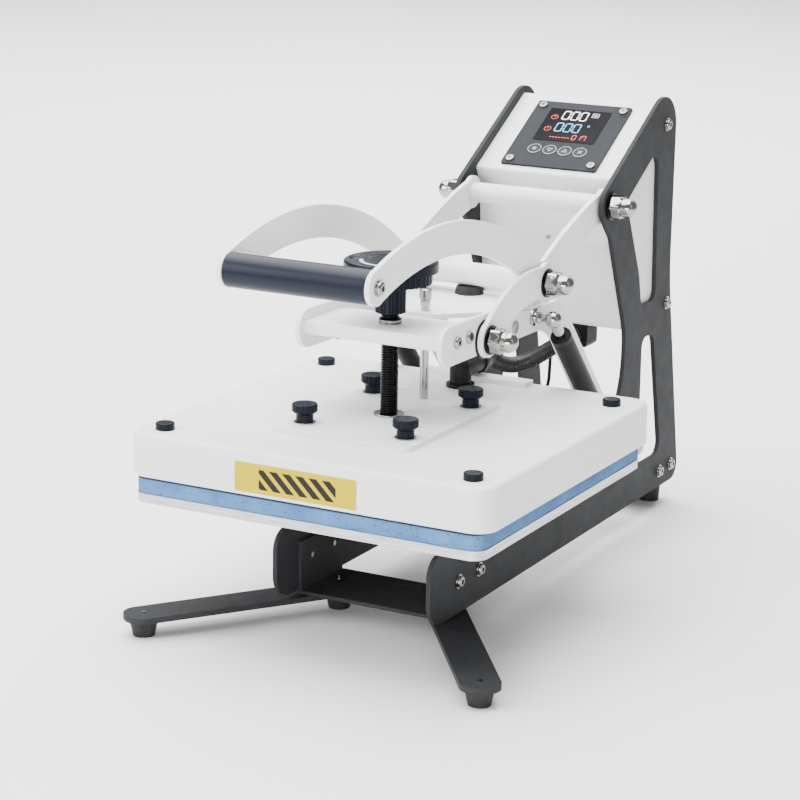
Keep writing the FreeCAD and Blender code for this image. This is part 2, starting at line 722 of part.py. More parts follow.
def strut_rod():
    """The strut's rod, with a roomy end socket round the frame's pin."""
    axis = strut_direction()
    length = axis.Length
    rod = Part.makeCylinder(4.0, length - 80.0 - 8.0, along_strut(80), axis)
    socket = Part.makeSphere(10.0, along_strut(length))
    neck = Part.makeCylinder(6.5, 18.0, along_strut(length - 20), axis)
    pin_hole = rod_x(STRUT_BOTTOM, 6.5, STRUT_X - 12, STRUT_X + 12)
    return join([rod, neck, socket]).cut(pin_hole)


# ---- hoses and wires ----
def hose(route, radius):
    """A round tube along straight runs joined by the largest tangent arcs that they allow."""
    points = [Vector(*p) for p in route]
    edges = []
    radii = []
    last = points[0]
    for i in range(1, len(points) - 1):
        before = points[i - 1] - points[i]
        after = points[i + 1] - points[i]
        cut = 0.45 * min(before.Length, after.Length)
        half = before.getAngle(after) / 2
        bend = cut * math.tan(half)
        before.normalize()
        after.normalize()
        start = points[i] + before * cut
        end = points[i] + after * cut
        middle = points[i] + (before + after).normalize() * (bend / math.sin(half) - bend)
        edges.append(Part.LineSegment(last, start).toShape())
        edges.append(Part.Arc(start, middle, end).toShape())
        radii.append(round(bend, 1))
        last = end
    edges.append(Part.LineSegment(last, points[-1]).toShape())
    path = Part.Wire(edges)
    ring = Part.Wire(Part.makeCircle(radius, points[0], points[1] - points[0]))
    tube = path.makePipeShell([ring], True, False)
    share = tube.Volume / (math.pi * radius ** 2 * path.Length)
    print("hose of radius", radius, "length", round(path.Length, 1), "bends", radii, "volume", round(share, 4))
    return tube


def conduit():
    """The flexible conduit from the elbow to the gland."""
    route = [
        (0, 20.3, 233.5), (0, 42, 233.5), (1, 72, 219), (4, 101, 211.5),
        (9, 130, 212), (16, 157, 218), (27, 182, 227.5), (27, 205.7, 227.5),
    ]
    return hose(route, CONDUIT_R)


# ---- build ----
def model():
    nodes = {
        "front_bracket": bracket(-215, -129, 82),
        "rear_bracket": bracket(306, 372, 68),
        "front_feet": front_feet(),
        "rear_feet": both_sides(foot(*REAR_FOOT, BRACKET_FLOOR, 13.5, 12.0)),
        "platen_supports": Part.makeCompound([platen_support(y) for y in SUPPORT_Y]),
        "lower_plate": working_slab(PAD_HALF, PAD_FRONT, PAD_REAR, PAD_CORNER, *LOWER_PLATE_Z),
        "silicone_pad": working_slab(PAD_HALF, PAD_FRONT, PAD_REAR, PAD_CORNER, LOWER_PLATE_Z[1], PAD_TOP),
        "control_housing": control_housing(),
        "control_panel": control_panel(),
        "display_window": display_window(),
        "touch_buttons": touch_buttons(),
        "panel_screws": panel_screws(),
        "frame_fasteners": frame_fasteners(),
        "upper_pivot_bolt": pivot_bolt(HANDLE_PIVOT, FRAME_OUT, 14.0),
        "lower_pivot_bolt": pivot_bolt(FRAME_PIVOT, FRAME_OUT, 16.0),
        "conduit_gland": conduit_gland(),
        "power_inlet": power_inlet(),
        "power_switch": power_switch(),
        "sensor_wire": Part.makeCompound([sensor_wire(), lid_switch()]),
        "crossbar": crossbar(),
        "arm_screws": arm_screws(),
        "arm_tube_front": rod_x(ARM_PIVOT, 13.5, -ARM_IN, ARM_IN),
        "arm_tube_rear": tube_x(FRAME_PIVOT, 14.0, SHAFT_R + RUN_FIT, -ARM_IN, ARM_IN),
        "front_pivot_nuts": front_pivot_nuts(),
        "guide_plate": guide_plate(),
        "toggle_bumper": toggle_bumper(),
        "strut_studs": both_sides(strut_stud(STRUT_TOP, ARM_OUT, STRUT_X - 9.5)),
        "grip": grip(),
        "lever_tube_upper": tube_x(HANDLE_PIVOT, 11.0, SHAFT_R + RUN_FIT, -ARM_IN, ARM_IN),
        "lever_tube_middle": rod_x(TOGGLE_PIVOT, 12.0, -ARM_IN, ARM_IN),
        "handle_screws": handle_screws(),
        "middle_pivot_nuts": middle_pivot_nuts(),
        "platen_cover": platen_cover(),
        "heat_plate": working_slab(PAD_HALF - 2, PAD_FRONT + 2, PAD_REAR - 2, PAD_CORNER, PAD_TOP + FACE_GAP, HEAT_PLATE_TOP),
        "knob_plate": knob_plate(),
        "cover_plugs": cover_plugs(),
        "guide_pin": guide_pin(),
        "knob_plate_hardware": knob_plate_hardware(),
        "elbow_fitting": elbow_fitting(),
        "pressure_screw": pressure_screw(),
        "pressure_knob": pressure_knob(),
        "conduit": conduit(),
    }
    pairs = {
        "side_plate": side_plate(),
        "leg": leg(),
        "arm_plate": arm_plate(),
        "lever_plate": lever_plate(),
        "link_plate": link_plate(),
    }
    for name, shape in pairs.items():
        nodes[name + "_right"] = shape
        nodes[name + "_left"] = mirrored(shape)
    struts = {"strut_cylinder": strut_cylinder(), "strut_rod": strut_rod()}
    for name, shape in struts.items():
        nodes[name + "_right"] = shape
        nodes[name + "_left"] = shape.translated(Vector(-2 * STRUT_X, 0, 0))
    names = ("left_front", "left_rear", "right_front", "right_rear")
    for name, place in zip(names, clamp_knob_places()):
        nodes["clamp_knob_" + name] = clamp_knob(*place)
    return nodes


os.makedirs("parts", exist_ok=True)
nodes = model()
whole = FreeCAD.BoundBox()
for name, shape in sorted(nodes.items()):
    shape.translate(-Vector(*MIDDLE))
    shape.exportStep("parts/" + name + ".step")
    whole.add(shape.BoundBox)
    if not shape.isValid():
        print("not valid:", name)
print(len(nodes), "nodes; box", whole)
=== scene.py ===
import json
import math
import bmesh
import bpy
from mathutils import Matrix, Vector, noise


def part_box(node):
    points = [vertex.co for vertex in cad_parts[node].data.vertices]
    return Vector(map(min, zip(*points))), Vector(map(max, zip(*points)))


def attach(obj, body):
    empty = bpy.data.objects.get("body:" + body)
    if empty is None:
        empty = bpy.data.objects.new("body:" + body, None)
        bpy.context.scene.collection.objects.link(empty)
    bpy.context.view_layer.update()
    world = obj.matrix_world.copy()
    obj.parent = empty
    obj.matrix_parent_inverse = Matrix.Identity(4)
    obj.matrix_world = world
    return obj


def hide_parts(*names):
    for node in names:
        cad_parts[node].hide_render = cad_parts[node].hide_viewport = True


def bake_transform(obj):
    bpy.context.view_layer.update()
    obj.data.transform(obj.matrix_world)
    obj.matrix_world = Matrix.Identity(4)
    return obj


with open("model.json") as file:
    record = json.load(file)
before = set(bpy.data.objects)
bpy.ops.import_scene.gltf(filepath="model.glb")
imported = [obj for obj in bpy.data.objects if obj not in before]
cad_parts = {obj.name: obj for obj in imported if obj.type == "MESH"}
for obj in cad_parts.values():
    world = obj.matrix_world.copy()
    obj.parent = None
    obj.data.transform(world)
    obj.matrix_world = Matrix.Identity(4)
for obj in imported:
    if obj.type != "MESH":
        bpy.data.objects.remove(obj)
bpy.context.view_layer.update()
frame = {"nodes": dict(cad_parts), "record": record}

# Looks for the clamshell heat press. Everything is in metres in the frame of the model:
# +Z up, the operator's side faces -Y, the origin on the bench under the middle.

MM = 0.001
SCENE = bpy.context.scene


def mm(*values):
    """A point given in millimetres."""
    return Vector(values) * MM


# ---------------------------------------------------------------- camera, lights and floor
def camera():
    """The main view: a long lens from the front right, a little above and slightly tilted."""
    azimuth, elevation, roll = math.radians(27.87), math.radians(14.47), math.radians(1.0)
    back = Vector((
        math.sin(azimuth) * math.cos(elevation),
        -math.cos(azimuth) * math.cos(elevation),
        math.sin(elevation),
    ))
    level = Vector((math.cos(azimuth), math.sin(azimuth), 0))
    up = back.cross(level)
    right = level * math.cos(roll) + up * math.sin(roll)
    up = up * math.cos(roll) - level * math.sin(roll)
    data = bpy.data.cameras.new("camera")
    data.lens = 111.9
    data.sensor_width = 36.0
    data.clip_start = 0.05
    obj = bpy.data.objects.new("camera", data)
    SCENE.collection.objects.link(obj)
    place = Matrix((right, up, back)).transposed().to_4x4()
    place.translation = mm(1129.07, -2296.19, 849.23)
    obj.matrix_world = place
    SCENE.camera = obj


def area_light(name, position, target, size, power):
    data = bpy.data.lights.new(name, "AREA")
    data.shape = "RECTANGLE"
    data.size, data.size_y = size
    data.energy = power
    obj = bpy.data.objects.new(name, data)
    SCENE.collection.objects.link(obj)
    obj.location = position
    obj.rotation_euler = (Vector(target) - Vector(position)).to_track_quat("-Z", "Y").to_euler()


def studio():
    world = bpy.data.worlds.new("studio")
    SCENE.world = world
    world.use_nodes = True
    background = world.node_tree.nodes["Background"]
    background.inputs["Color"].default_value = (1.0, 1.0, 1.0, 1.0)
    background.inputs["Strength"].default_value = 0.36
    middle = (0, 0, 0.2)
    area_light("top_softbox", (-0.2, -0.1, 2.2), middle, (2.4, 2.4), 170)
    area_light("front_left_softbox", (-1.9, -1.9, 1.3), middle, (1.6, 1.6), 72)
    area_light("right_softbox", (2.3, -0.6, 1.2), middle, (1.0, 1.8), 3)
    area_light("low_fill", (0.5, -1.7, 0.35), (0, -0.1, 0), (1.4, 0.4), 22)
    area_light("backdrop_light", (-2.0, 3.4, 3.2), (-2.6, 4.6, 0), (5.0, 5.0), 650)
    mesh = bpy.data.meshes.new("floor")
    reach = 12.0
    corners = [(-reach, -reach, 0), (reach, -reach, 0), (reach, reach, 0), (-reach, reach, 0)]
    mesh.from_pydata(corners, [], [(0, 1, 2, 3)])
    floor = bpy.data.objects.new("floor", mesh)
    SCENE.collection.objects.link(floor)
    mesh.materials.append(plain_floor())


# ---------------------------------------------------------------- material building blocks
class Shader:
    """A new material whose nodes are added one by one round its Principled shader."""

    def __init__(self, name):
        self.material = bpy.data.materials.new(name)
        self.material.use_nodes = True
        self.tree = self.material.node_tree
        self.surface = self.tree.nodes["Principled BSDF"]
        self.place = self.add("ShaderNodeTexCoord").outputs["Object"]

    def add(self, kind, **settings):
        node = self.tree.nodes.new(kind)
        for key, value in settings.items():
            setattr(node, key, value)
        return node

    def wire(self, source, target):
        self.tree.links.new(source, target)

    def plug(self, socket, value):
        """Feeds a socket of the surface from a node's output, or sets it to a plain value."""
        target = self.surface.inputs[socket]
        if isinstance(value, bpy.types.NodeSocket):
            self.wire(value, target)
        else:
            target.default_value = value

    def noise(self, scale, detail, stretch=None):
        """Cloudy noise from 0 to 1; scale is in features per metre."""
        node = self.add("ShaderNodeTexNoise")
        node.inputs["Scale"].default_value = scale
        node.inputs["Detail"].default_value = detail
        source = self.place
        if stretch:
            squeeze = self.add("ShaderNodeMapping")
            squeeze.inputs["Scale"].default_value = stretch
            self.wire(source, squeeze.inputs["Vector"])
            source = squeeze.outputs["Vector"]
        self.wire(source, node.inputs["Vector"])
        return node.outputs["Fac"]

    def cells(self, scale):
        """Distance to the nearest of many scattered points; scale is in points per metre."""
        node = self.add("ShaderNodeTexVoronoi")
        node.inputs["Scale"].default_value = scale
        self.wire(self.place, node.inputs["Vector"])
        return node.outputs["Distance"]

    def spread(self, value, low, high, to_low=0.0, to_high=1.0):
        """Maps low..high onto to_low..to_high, and clamps."""
        node = self.add("ShaderNodeMapRange")
        for name, number in (("From Min", low), ("From Max", high), ("To Min", to_low), ("To Max", to_high)):
            node.inputs[name].default_value = number
        self.wire(value, node.inputs["Value"])
        return node.outputs["Result"]

    def mix(self, factor, first, second):
        """Blends two colours, each a node output or an (r, g, b)."""
        node = self.add("ShaderNodeMix", data_type="RGBA")
        self.wire(factor, node.inputs[0])
        for socket, colour in ((node.inputs[6], first), (node.inputs[7], second)):
            if isinstance(colour, bpy.types.NodeSocket):
                self.wire(colour, socket)
            else:
                socket.default_value = (*colour, 1.0)
        return node.outputs[2]

    def multiply(self, first, second):
        """The product of two outputs, such as two masks."""
        node = self.add("ShaderNodeMath", operation="MULTIPLY")
        self.wire(first, node.inputs[0])
        self.wire(second, node.inputs[1])
        return node.outputs[0]

    def axes(self):
        """The place on the surface as its outputs X, Y and Z."""
        node = self.add("ShaderNodeSeparateXYZ")
        self.wire(self.place, node.inputs[0])
        return node.outputs

    def bump(self, height, strength, depth, below=None):
        """Adds relief; depth is in metres, and below is another bump's output."""
        node = self.add("ShaderNodeBump")
        node.inputs["Strength"].default_value = strength
        node.inputs["Distance"].default_value = depth
        self.wire(height, node.inputs["Height"])
        if below:
            self.wire(below, node.inputs["Normal"])
        return node.outputs["Normal"]


def shaded(colour, share):
    """The same colour, lighter or darker by that share."""
    return tuple(min(1.0, c * share) for c in colour)


def powder_coat(name, colour, roughness, peel=0.25, mottle=0.05, shine=0.45):
    """Baked powder coat: fine orange peel, faint cloudiness and a little uneven gloss."""
    s = Shader(name)
    cloud = s.noise(9, 4)
    light, dark = shaded(colour, 1 + mottle), shaded(colour, 1 - mottle)
    s.plug("Base Color", s.mix(s.spread(cloud, 0.3, 0.7), dark, light))
    s.plug("Roughness", s.spread(s.noise(60, 3), 0.3, 0.7, roughness - 0.04, roughness + 0.05))
    s.plug("Normal", s.bump(s.noise(900, 2), peel, 0.12 * MM))
    s.surface.inputs["Specular IOR Level"].default_value = shine
    return s.material


def moulded_plastic(name, colour, roughness, grain=0.2, shine=0.35):
    """Injection-moulded plastic with a fine spark-eroded texture."""
    s = Shader(name)
    s.plug("Base Color", s.mix(s.noise(25, 3), shaded(colour, 0.85), shaded(colour, 1.2)))
    s.plug("Roughness", s.spread(s.noise(120, 4), 0.3, 0.7, roughness - 0.06, roughness + 0.06))
    s.plug("Normal", s.bump(s.noise(2200, 2), grain, 0.08 * MM))
    s.surface.inputs["Specular IOR Level"].default_value = shine
    return s.material


def moulded_rubber(name, colour):
    """Matt rubber with dusty patches."""
    s = Shader(name)
    s.plug("Base Color", s.mix(s.spread(s.noise(45, 5), 0.45, 0.75), colour, shaded(colour, 2.2)))
    s.plug("Roughness", s.spread(s.noise(80, 3), 0.3, 0.7, 0.62, 0.8))
    s.plug("Normal", s.bump(s.noise(1500, 3), 0.35, 0.1 * MM))
    return s.material


def bright_metal(name, colour, roughness):
    """Plated or polished metal with faint cloudiness and hairline marks."""
    s = Shader(name)
    s.plug("Base Color", s.mix(s.noise(60, 3), shaded(colour, 0.9), colour))
    s.surface.inputs["Metallic"].default_value = 1.0
    s.plug("Roughness", s.spread(s.noise(150, 4), 0.3, 0.7, roughness, roughness + 0.06))
    s.plug("Normal", s.bump(s.noise(1200, 2, stretch=(1, 0.2, 1)), 0.12, 0.04 * MM))
    return s.material


def brushed_metal(name, colour, roughness, along):
    """Metal with fine grinding lines, long in the directions where along is small."""
    s = Shader(name)
    lines = s.noise(1400, 2, stretch=along)
    s.plug("Base Color", s.mix(s.spread(lines, 0.35, 0.65), shaded(colour, 0.7), shaded(colour, 1.1)))
    s.surface.inputs["Metallic"].default_value = 1.0
    s.plug("Roughness", s.spread(lines, 0.3, 0.7, roughness - 0.06, roughness + 0.08))
    s.plug("Normal", s.bump(lines, 0.2, 0.05 * MM))
    return s.material


def plain_floor():
    s = Shader("studio_floor")
    s.plug("Base Color", s.mix(s.noise(2, 2), (0.88, 0.88, 0.88), (0.9, 0.9, 0.9)))
    s.surface.inputs["Roughness"].default_value = 0.7
    return s.material


def anodised():
    """The grip's satin blue-black tube, with faint lines round it."""
    s = Shader("grip_anodised")
    lines = s.noise(1100, 2, stretch=(1, 0.04, 0.04))
    colour = s.mix(s.spread(s.noise(14, 3), 0.3, 0.7), (0.004, 0.006, 0.014), (0.006, 0.009, 0.02))
    s.plug("Base Color", colour)
    s.plug("Roughness", s.spread(lines, 0.3, 0.7, 0.3, 0.38))
    s.plug("Normal", s.bump(lines, 0.15, 0.05 * MM))
    s.surface.inputs["Specular IOR Level"].default_value = 0.2
    return s.material


def sponge(top):
    """Pale blue silicone sponge: open pores, dark specks and a painted shade line along the upper edge, where
    the cover's shadow falls.
    """
    s = Shader("silicone_sponge")
    height = s.axes()["Z"]
    blue, deep = (0.075, 0.19, 0.4), (0.045, 0.125, 0.3)
    body = s.mix(s.spread(s.noise(35, 5), 0.3, 0.7), blue, deep)
    # Painted shade: a near-black band just below the pad's top edge stands in for the shadow under the
    # cover's lower edge.
    above = s.spread(height, top - 2.6 * MM, top - 1.4 * MM)
    below = s.spread(height, top - 0.6 * MM, top - 0.4 * MM, 1.0, 0.0)
    body = s.mix(s.multiply(above, below), body, (0.006, 0.01, 0.022))
    specks = s.spread(s.cells(300), 0.17, 0.24, 1.0, 0.0)
    some = s.spread(s.noise(190, 2), 0.5, 0.54)
    s.plug("Base Color", s.mix(s.multiply(specks, some), body, (0.008, 0.02, 0.05)))
    s.surface.inputs["Roughness"].default_value = 0.82
    pores = s.bump(s.spread(s.cells(900), 0.1, 0.5), 0.5, 0.3 * MM)
    s.plug("Normal", s.bump(specks, 0.6, -0.4 * MM, pores))
    return s.material


def glowing(name, colour, strength):
    """A lit segment of the display, slightly uneven in brightness."""
    s = Shader(name)
    s.plug("Base Color", s.mix(s.noise(300, 2), shaded(colour, 0.7), colour))
    s.surface.inputs["Roughness"].default_value = 0.4
    s.plug("Emission Color", s.mix(s.noise(300, 2), shaded(colour, 0.85), colour))
    s.surface.inputs["Emission Strength"].default_value = strength
    return s.material


def smoked_window():
    """The display's black glossy window."""
    s = Shader("smoked_window")
    s.plug("Base Color", s.mix(s.noise(40, 2), (0.004, 0.004, 0.005), (0.008, 0.008, 0.009)))
    s.plug("Roughness", s.spread(s.noise(90, 3), 0.3, 0.7, 0.1, 0.18))
    s.surface.inputs["Specular IOR Level"].default_value = 0.03
    return s.material


def striped_label(middle_low, middle_high):
    """A plain yellow sticker with a dark field in the middle, crossed by slanting yellow bars."""
    s = Shader("striped_label")
    axes = s.axes()
    half_pitch, half_bar, soft = 7.2 * MM, 2.7 * MM, 0.1 * MM
    slant = s.add("ShaderNodeMath", operation="ADD")
    s.wire(axes["X"], slant.inputs[0])
    s.wire(axes["Z"], slant.inputs[1])
    wave = s.add("ShaderNodeMath", operation="PINGPONG")
    s.wire(slant.outputs[0], wave.inputs[0])
    wave.inputs[1].default_value = half_pitch
    dark = s.spread(wave.outputs[0], half_bar - soft, half_bar + soft)
    edge = 0.15 * MM
    borders = (
        ("X", middle_low.x, (0, 1)), ("X", middle_high.x, (1, 0)),
        ("Z", middle_low.z, (0, 1)), ("Z", middle_high.z, (1, 0)),
    )
    for axis, place, rise in borders:
        dark = s.multiply(dark, s.spread(axes[axis], place - edge, place + edge, *rise))
    yellow = s.mix(s.noise(70, 3), (0.5, 0.38, 0.0), (0.56, 0.43, 0.0))
    s.plug("Base Color", s.mix(dark, yellow, (0.02, 0.017, 0.014)))
    s.surface.inputs["Roughness"].default_value = 0.5
    s.surface.inputs["Specular IOR Level"].default_value = 0.1
    s.plug("Normal", s.bump(s.noise(500, 2), 0.1, 0.05 * MM))
    return s.material


CHARCOAL = (0.031, 0.0322, 0.0342)
WHITE = (0.8, 0.805, 0.81)
BLUE_BLACK = (0.005, 0.007, 0.012)
BLACK = (0.005, 0.005, 0.0055)

LABEL_FIELD = mm(-45, 0, 175.6), mm(39, 0, 195.3)      # the dark field's lowest and highest corner

LOOKS = {
    "charcoal": powder_coat("charcoal_powder_coat", CHARCOAL, 0.52, peel=0.35, mottle=0.1, shine=0.06),
    "white": powder_coat("white_powder_coat", WHITE, 0.42, peel=0.2, mottle=0.02),
    "dark_paint": powder_coat("strut_paint", (0.012, 0.012, 0.013), 0.4, peel=0.1, mottle=0.1, shine=0.08),
    "coated": powder_coat("nonstick_coat", (0.008, 0.008, 0.009), 0.5, peel=0.3, mottle=0.2),
    "grip": anodised(),
    "knob": moulded_plastic("knob_plastic", BLUE_BLACK, 0.3, shine=0.1),
    "black": moulded_plastic("black_plastic", BLACK, 0.42, shine=0.2),
    "panel": moulded_plastic("panel_film", (0.022, 0.024, 0.0275), 0.5, grain=0.1, shine=0.06),
    "button": moulded_plastic("button_film", (0.024, 0.026, 0.03), 0.4, grain=0.05, shine=0.08),
    "hose": moulded_plastic("conduit_plastic", (0.008, 0.008, 0.009), 0.3, grain=0.02, shine=0.4),
    "print": moulded_plastic("pale_print", (0.55, 0.57, 0.6), 0.5, grain=0.05),
    "rubber": moulded_rubber("foot_rubber", BLACK),
    "sponge": sponge(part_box("silicone_pad")[1].z),
    "chrome": bright_metal("chrome_plate", (0.4, 0.385, 0.37), 0.05),
    "steel": bright_metal("screw_steel", (0.34, 0.335, 0.33), 0.18),
    "oxide": bright_metal("black_oxide_steel", (0.014, 0.014, 0.015), 0.3),
    "aluminium": brushed_metal("platen_aluminium", (0.62, 0.6, 0.63), 0.36, along=(0.02, 0.02, 0.6)),
    "screen": smoked_window(),
    "white_light": glowing("white_segments", (0.9, 0.92, 0.95), 1.6),
    "blue_light": glowing("blue_segments", (0.05, 0.42, 0.75), 1.5),
    "red_light": glowing("red_segments", (0.75, 0.03, 0.02), 1.3),
    "label": striped_label(*LABEL_FIELD),
}

NODE_LOOKS = {
    "charcoal": ["side_plate_right", "side_plate_left", "front_bracket", "rear_bracket",
                 "leg_right", "leg_left", "platen_supports"],
    "white": ["control_housing", "arm_plate_right", "arm_plate_left", "crossbar", "arm_tube_front",
              "arm_tube_rear", "guide_plate", "lever_plate_right", "lever_plate_left",
              "lever_tube_upper", "lever_tube_middle", "link_plate_right", "link_plate_left",
              "platen_cover", "knob_plate"],
    "rubber": ["front_feet", "rear_feet", "toggle_bumper"],
    "aluminium": ["lower_plate"],
    "coated": ["heat_plate"],
    "sponge": ["silicone_pad"],
    "panel": ["control_panel"],
    "screen": ["display_window"],
    "button": ["touch_buttons"],
    "steel": ["panel_screws", "frame_fasteners", "arm_screws", "handle_screws", "strut_studs",
              "knob_plate_hardware", "strut_rod_right", "strut_rod_left"],
    "chrome": ["upper_pivot_bolt", "lower_pivot_bolt", "front_pivot_nuts", "middle_pivot_nuts", "guide_pin"],
    "black": ["conduit_gland", "power_inlet", "power_switch", "sensor_wire", "elbow_fitting", "conduit"],
    "knob": ["pressure_knob", "cover_plugs", "clamp_knob_left_front", "clamp_knob_left_rear",
             "clamp_knob_right_front", "clamp_knob_right_rear"],
    "grip": ["grip"],
    "oxide": ["pressure_screw"],
    "dark_paint": ["strut_cylinder_right", "strut_cylinder_left"],
}


# ---------------------------------------------------------------- places taken from the model
RECORD = frame["record"]
JOINTS = {joint["name"]: joint for joint in RECORD["behaviour"]["joints"]}
SCREW_X, SCREW_Y = JOINTS["pressure_turn"]["pos_m"][:2]
SLOPE = math.radians(30)        # the control panel's tilt
PANEL_THICK = 2.5               # millimetres
PANEL_LOW = 9.0                 # its lower edge, in millimetres up the slope from the housing's fold
LIT = 0.12                      # how far lit and printed signs stand up, in millimetres


def hinge_yz(joint):
    return tuple(JOINTS[joint]["pos_m"][1:])


def middle(node):
    low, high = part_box(node)
    return (Vector(low) + Vector(high)) / 2


ARM_PIVOT = hinge_yz("link_swing")
HANDLE_PIVOT = hinge_yz("handle_lift")
FRAME_PIVOT = hinge_yz("arm_open")
STRUT_TOP = hinge_yz("strut_swing")
TOGGLE_PIVOT = tuple(middle("middle_pivot_nuts").yz)
ARM_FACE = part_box("arm_plate_right")[1].x
LINK_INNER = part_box("link_plate_right")[0].x
LINK_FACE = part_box("link_plate_right")[1].x
FRAME_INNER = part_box("side_plate_right")[0].x
FRAME_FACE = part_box("side_plate_right")[1].x


# ---------------------------------------------------------------- mesh building blocks
def finish_mesh(name, bm, look, sharp=32.0):
    """Makes an object of a bmesh, smooth except where its faces meet more sharply than that angle."""
    bmesh.ops.recalc_face_normals(bm, faces=bm.faces)
    for face in bm.faces:
        face.smooth = True
    for edge in bm.edges:
        edge.smooth = edge.calc_face_angle(0.0) < math.radians(sharp)
    mesh = bpy.data.meshes.new(name)
    bm.to_mesh(mesh)
    bm.free()
    obj = bpy.data.objects.new(name, mesh)
    SCENE.collection.objects.link(obj)
    mesh.materials.append(LOOKS[look])
    return obj


def settle(obj, body, slot, *replaced):
    """Fastens a finished piece to its body, in place of nodes of the model, which it hides; slot is not used.
    """
    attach(obj, body)
    if replaced:
        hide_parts(*replaced)


def hex_reach(angle, flats):
    """Distance from a hexagon's middle to its edge in one direction."""
    folded = angle % (math.pi / 3) - math.pi / 6
    return flats / 2 / math.cos(folded)


def bridge(bm, rings, closed=False):
    """Quads between each ring of points and the next, and from the last to the first if closed."""
    pairs = list(zip(rings, rings[1:]))
    if closed:
        pairs.append((rings[-1], rings[0]))
    for low, high in pairs:
        for k in range(len(low)):
            after = (k + 1) % len(low)
            bm.faces.new((low[k], low[after], high[after], high[k]))


def closed_form(bm, rings):
    """Joins rings of points side to side and caps both ends."""
    bridge(bm, rings)
    bm.faces.new(rings[0])
    bm.faces.new(rings[-1])


def turned(bm, origin, axis, stations, sides=64, closed=False):
    """Adds a form turned round an axis. Each station is (distance, radius) or (distance, radius, flats),
    where flats cuts the radius down to a hexagon of that width; all in millimetres."""
    spin = Vector(axis).to_track_quat("Z", "Y")
    rings = []
    for distance, radius, *flats in stations:
        ring = []
        for k in range(sides):
            angle = 2 * math.pi * k / sides
            reach = min(radius, hex_reach(angle, flats[0])) if flats else radius
            point = mm(reach * math.cos(angle), reach * math.sin(angle), distance)
            ring.append(bm.verts.new(Vector(origin) + spin @ point))
        rings.append(ring)
    if closed:
        bridge(bm, rings, closed=True)
    else:
        closed_form(bm, rings)


def arc(centre, radius, start, end, steps):
    """Stations along a quarter or other arc: (distance, radius) with angles from the axis in degrees."""
    points = []
    for k in range(steps + 1):
        angle = math.radians(start + (end - start) * k / steps)
        points.append((centre + radius * math.cos(angle), radius * math.sin(angle)))
    return points


def rounded_corners(low, high, radius, steps):
    """Points round a rectangle's rounded corners, each as (arc's centre, direction out from it)."""
    centres = ((high[0] - radius, high[1] - radius), (low[0] + radius, high[1] - radius),
               (low[0] + radius, low[1] + radius), (high[0] - radius, low[1] + radius))
    points = []
    for quarter, centre in enumerate(centres):
        for k in range(steps + 1):
            angle = math.radians(90 * (quarter + k / steps))
            points.append((Vector(centre), Vector((math.cos(angle), math.sin(angle)))))
    return points


def both_sides(make, bm, x, y, z):
    """Runs make for the right side and for the mirrored left side."""
    for side in (1, -1):
        make(bm, (side * x, y, z), (side, 0, 0))


# ---------------------------------------------------------------- pivots
SHAFT_RADIUS = 8.0              # millimetres


def dome_nut(bm, origin, axis):
    """A domed cap nut: chamfered hexagon, neck and polished dome."""
    flats, neck = 24.0, 10.6
    hexagon = [(2.5, 11.2, flats), (3.4, 13.2, flats), (13.4, 13.2, flats), (15.5, 11.5, flats), (15.6, neck)]
    dome = arc(19.3, neck, 90, 4, 14)
    turned(bm, origin, axis, hexagon + dome, sides=96)


def black_washer(radius, thickness):
    """A maker of a flat washer with broken edges round a pivot's shaft."""
    edge = min(0.5, thickness / 3)
    profile = [
        (0, SHAFT_RADIUS), (0, radius - edge), (edge, radius), (thickness - edge, radius),
        (thickness, radius - edge), (thickness, SHAFT_RADIUS),
    ]
    return lambda bm, origin, axis: turned(bm, origin, axis, profile, closed=True)


def pivot_pieces(name, node, body, yz, face, inner):
    """Cap nuts and washers of one pivot on both sides; inner lists further washers under the plate."""
    nuts = bmesh.new()
    both_sides(dome_nut, nuts, face, *yz)
    settle(finish_mesh(name + "_nuts", nuts, "chrome", 26), body, "chrome", node)
    washers = bmesh.new()
    both_sides(black_washer(15.0, 2.5), washers, face, *yz)
    for start_face, radius, thickness in inner:
        both_sides(black_washer(radius, thickness), washers, start_face, *yz)
    settle(finish_mesh(name + "_washers", washers, "oxide"), body, "black_steel", node)
    if body != "toggle_links":
        shaft = bmesh.new()
        reach, bevel = face / MM + 4, 0.6
        end = [(reach - bevel, SHAFT_RADIUS), (reach, SHAFT_RADIUS - bevel)]
        turned(shaft, (0, *yz), (1, 0, 0), [(-x, radius) for x, radius in reversed(end)] + end)
        settle(finish_mesh(name + "_shaft", shaft, "steel"), body, "chrome", node)


def pivots():
    """The four pivots, with a small gap wherever a washer faces something that turns against it."""
    gap = 0.3 * MM
    under_link = (LINK_INNER - ARM_FACE - gap) / MM
    under_frame = (FRAME_INNER - ARM_FACE - gap) / MM
    pivot_pieces("front_pivot", "front_pivot_nuts", "main_arm", ARM_PIVOT, LINK_FACE + gap,
                 [(ARM_FACE, 20.0, under_link)])
    pivot_pieces("middle_pivot", "middle_pivot_nuts", "toggle_links", TOGGLE_PIVOT, LINK_FACE,
                 [(ARM_FACE + gap, 16.0, under_link)])
    pivot_pieces("handle_pivot", "upper_pivot_bolt", "frame", HANDLE_PIVOT, FRAME_FACE,
                 [(ARM_FACE + gap, 14.0, under_frame)])
    pivot_pieces("arm_pivot", "lower_pivot_bolt", "frame", FRAME_PIVOT, FRAME_FACE,
                 [(ARM_FACE + gap, 16.0, under_frame)])


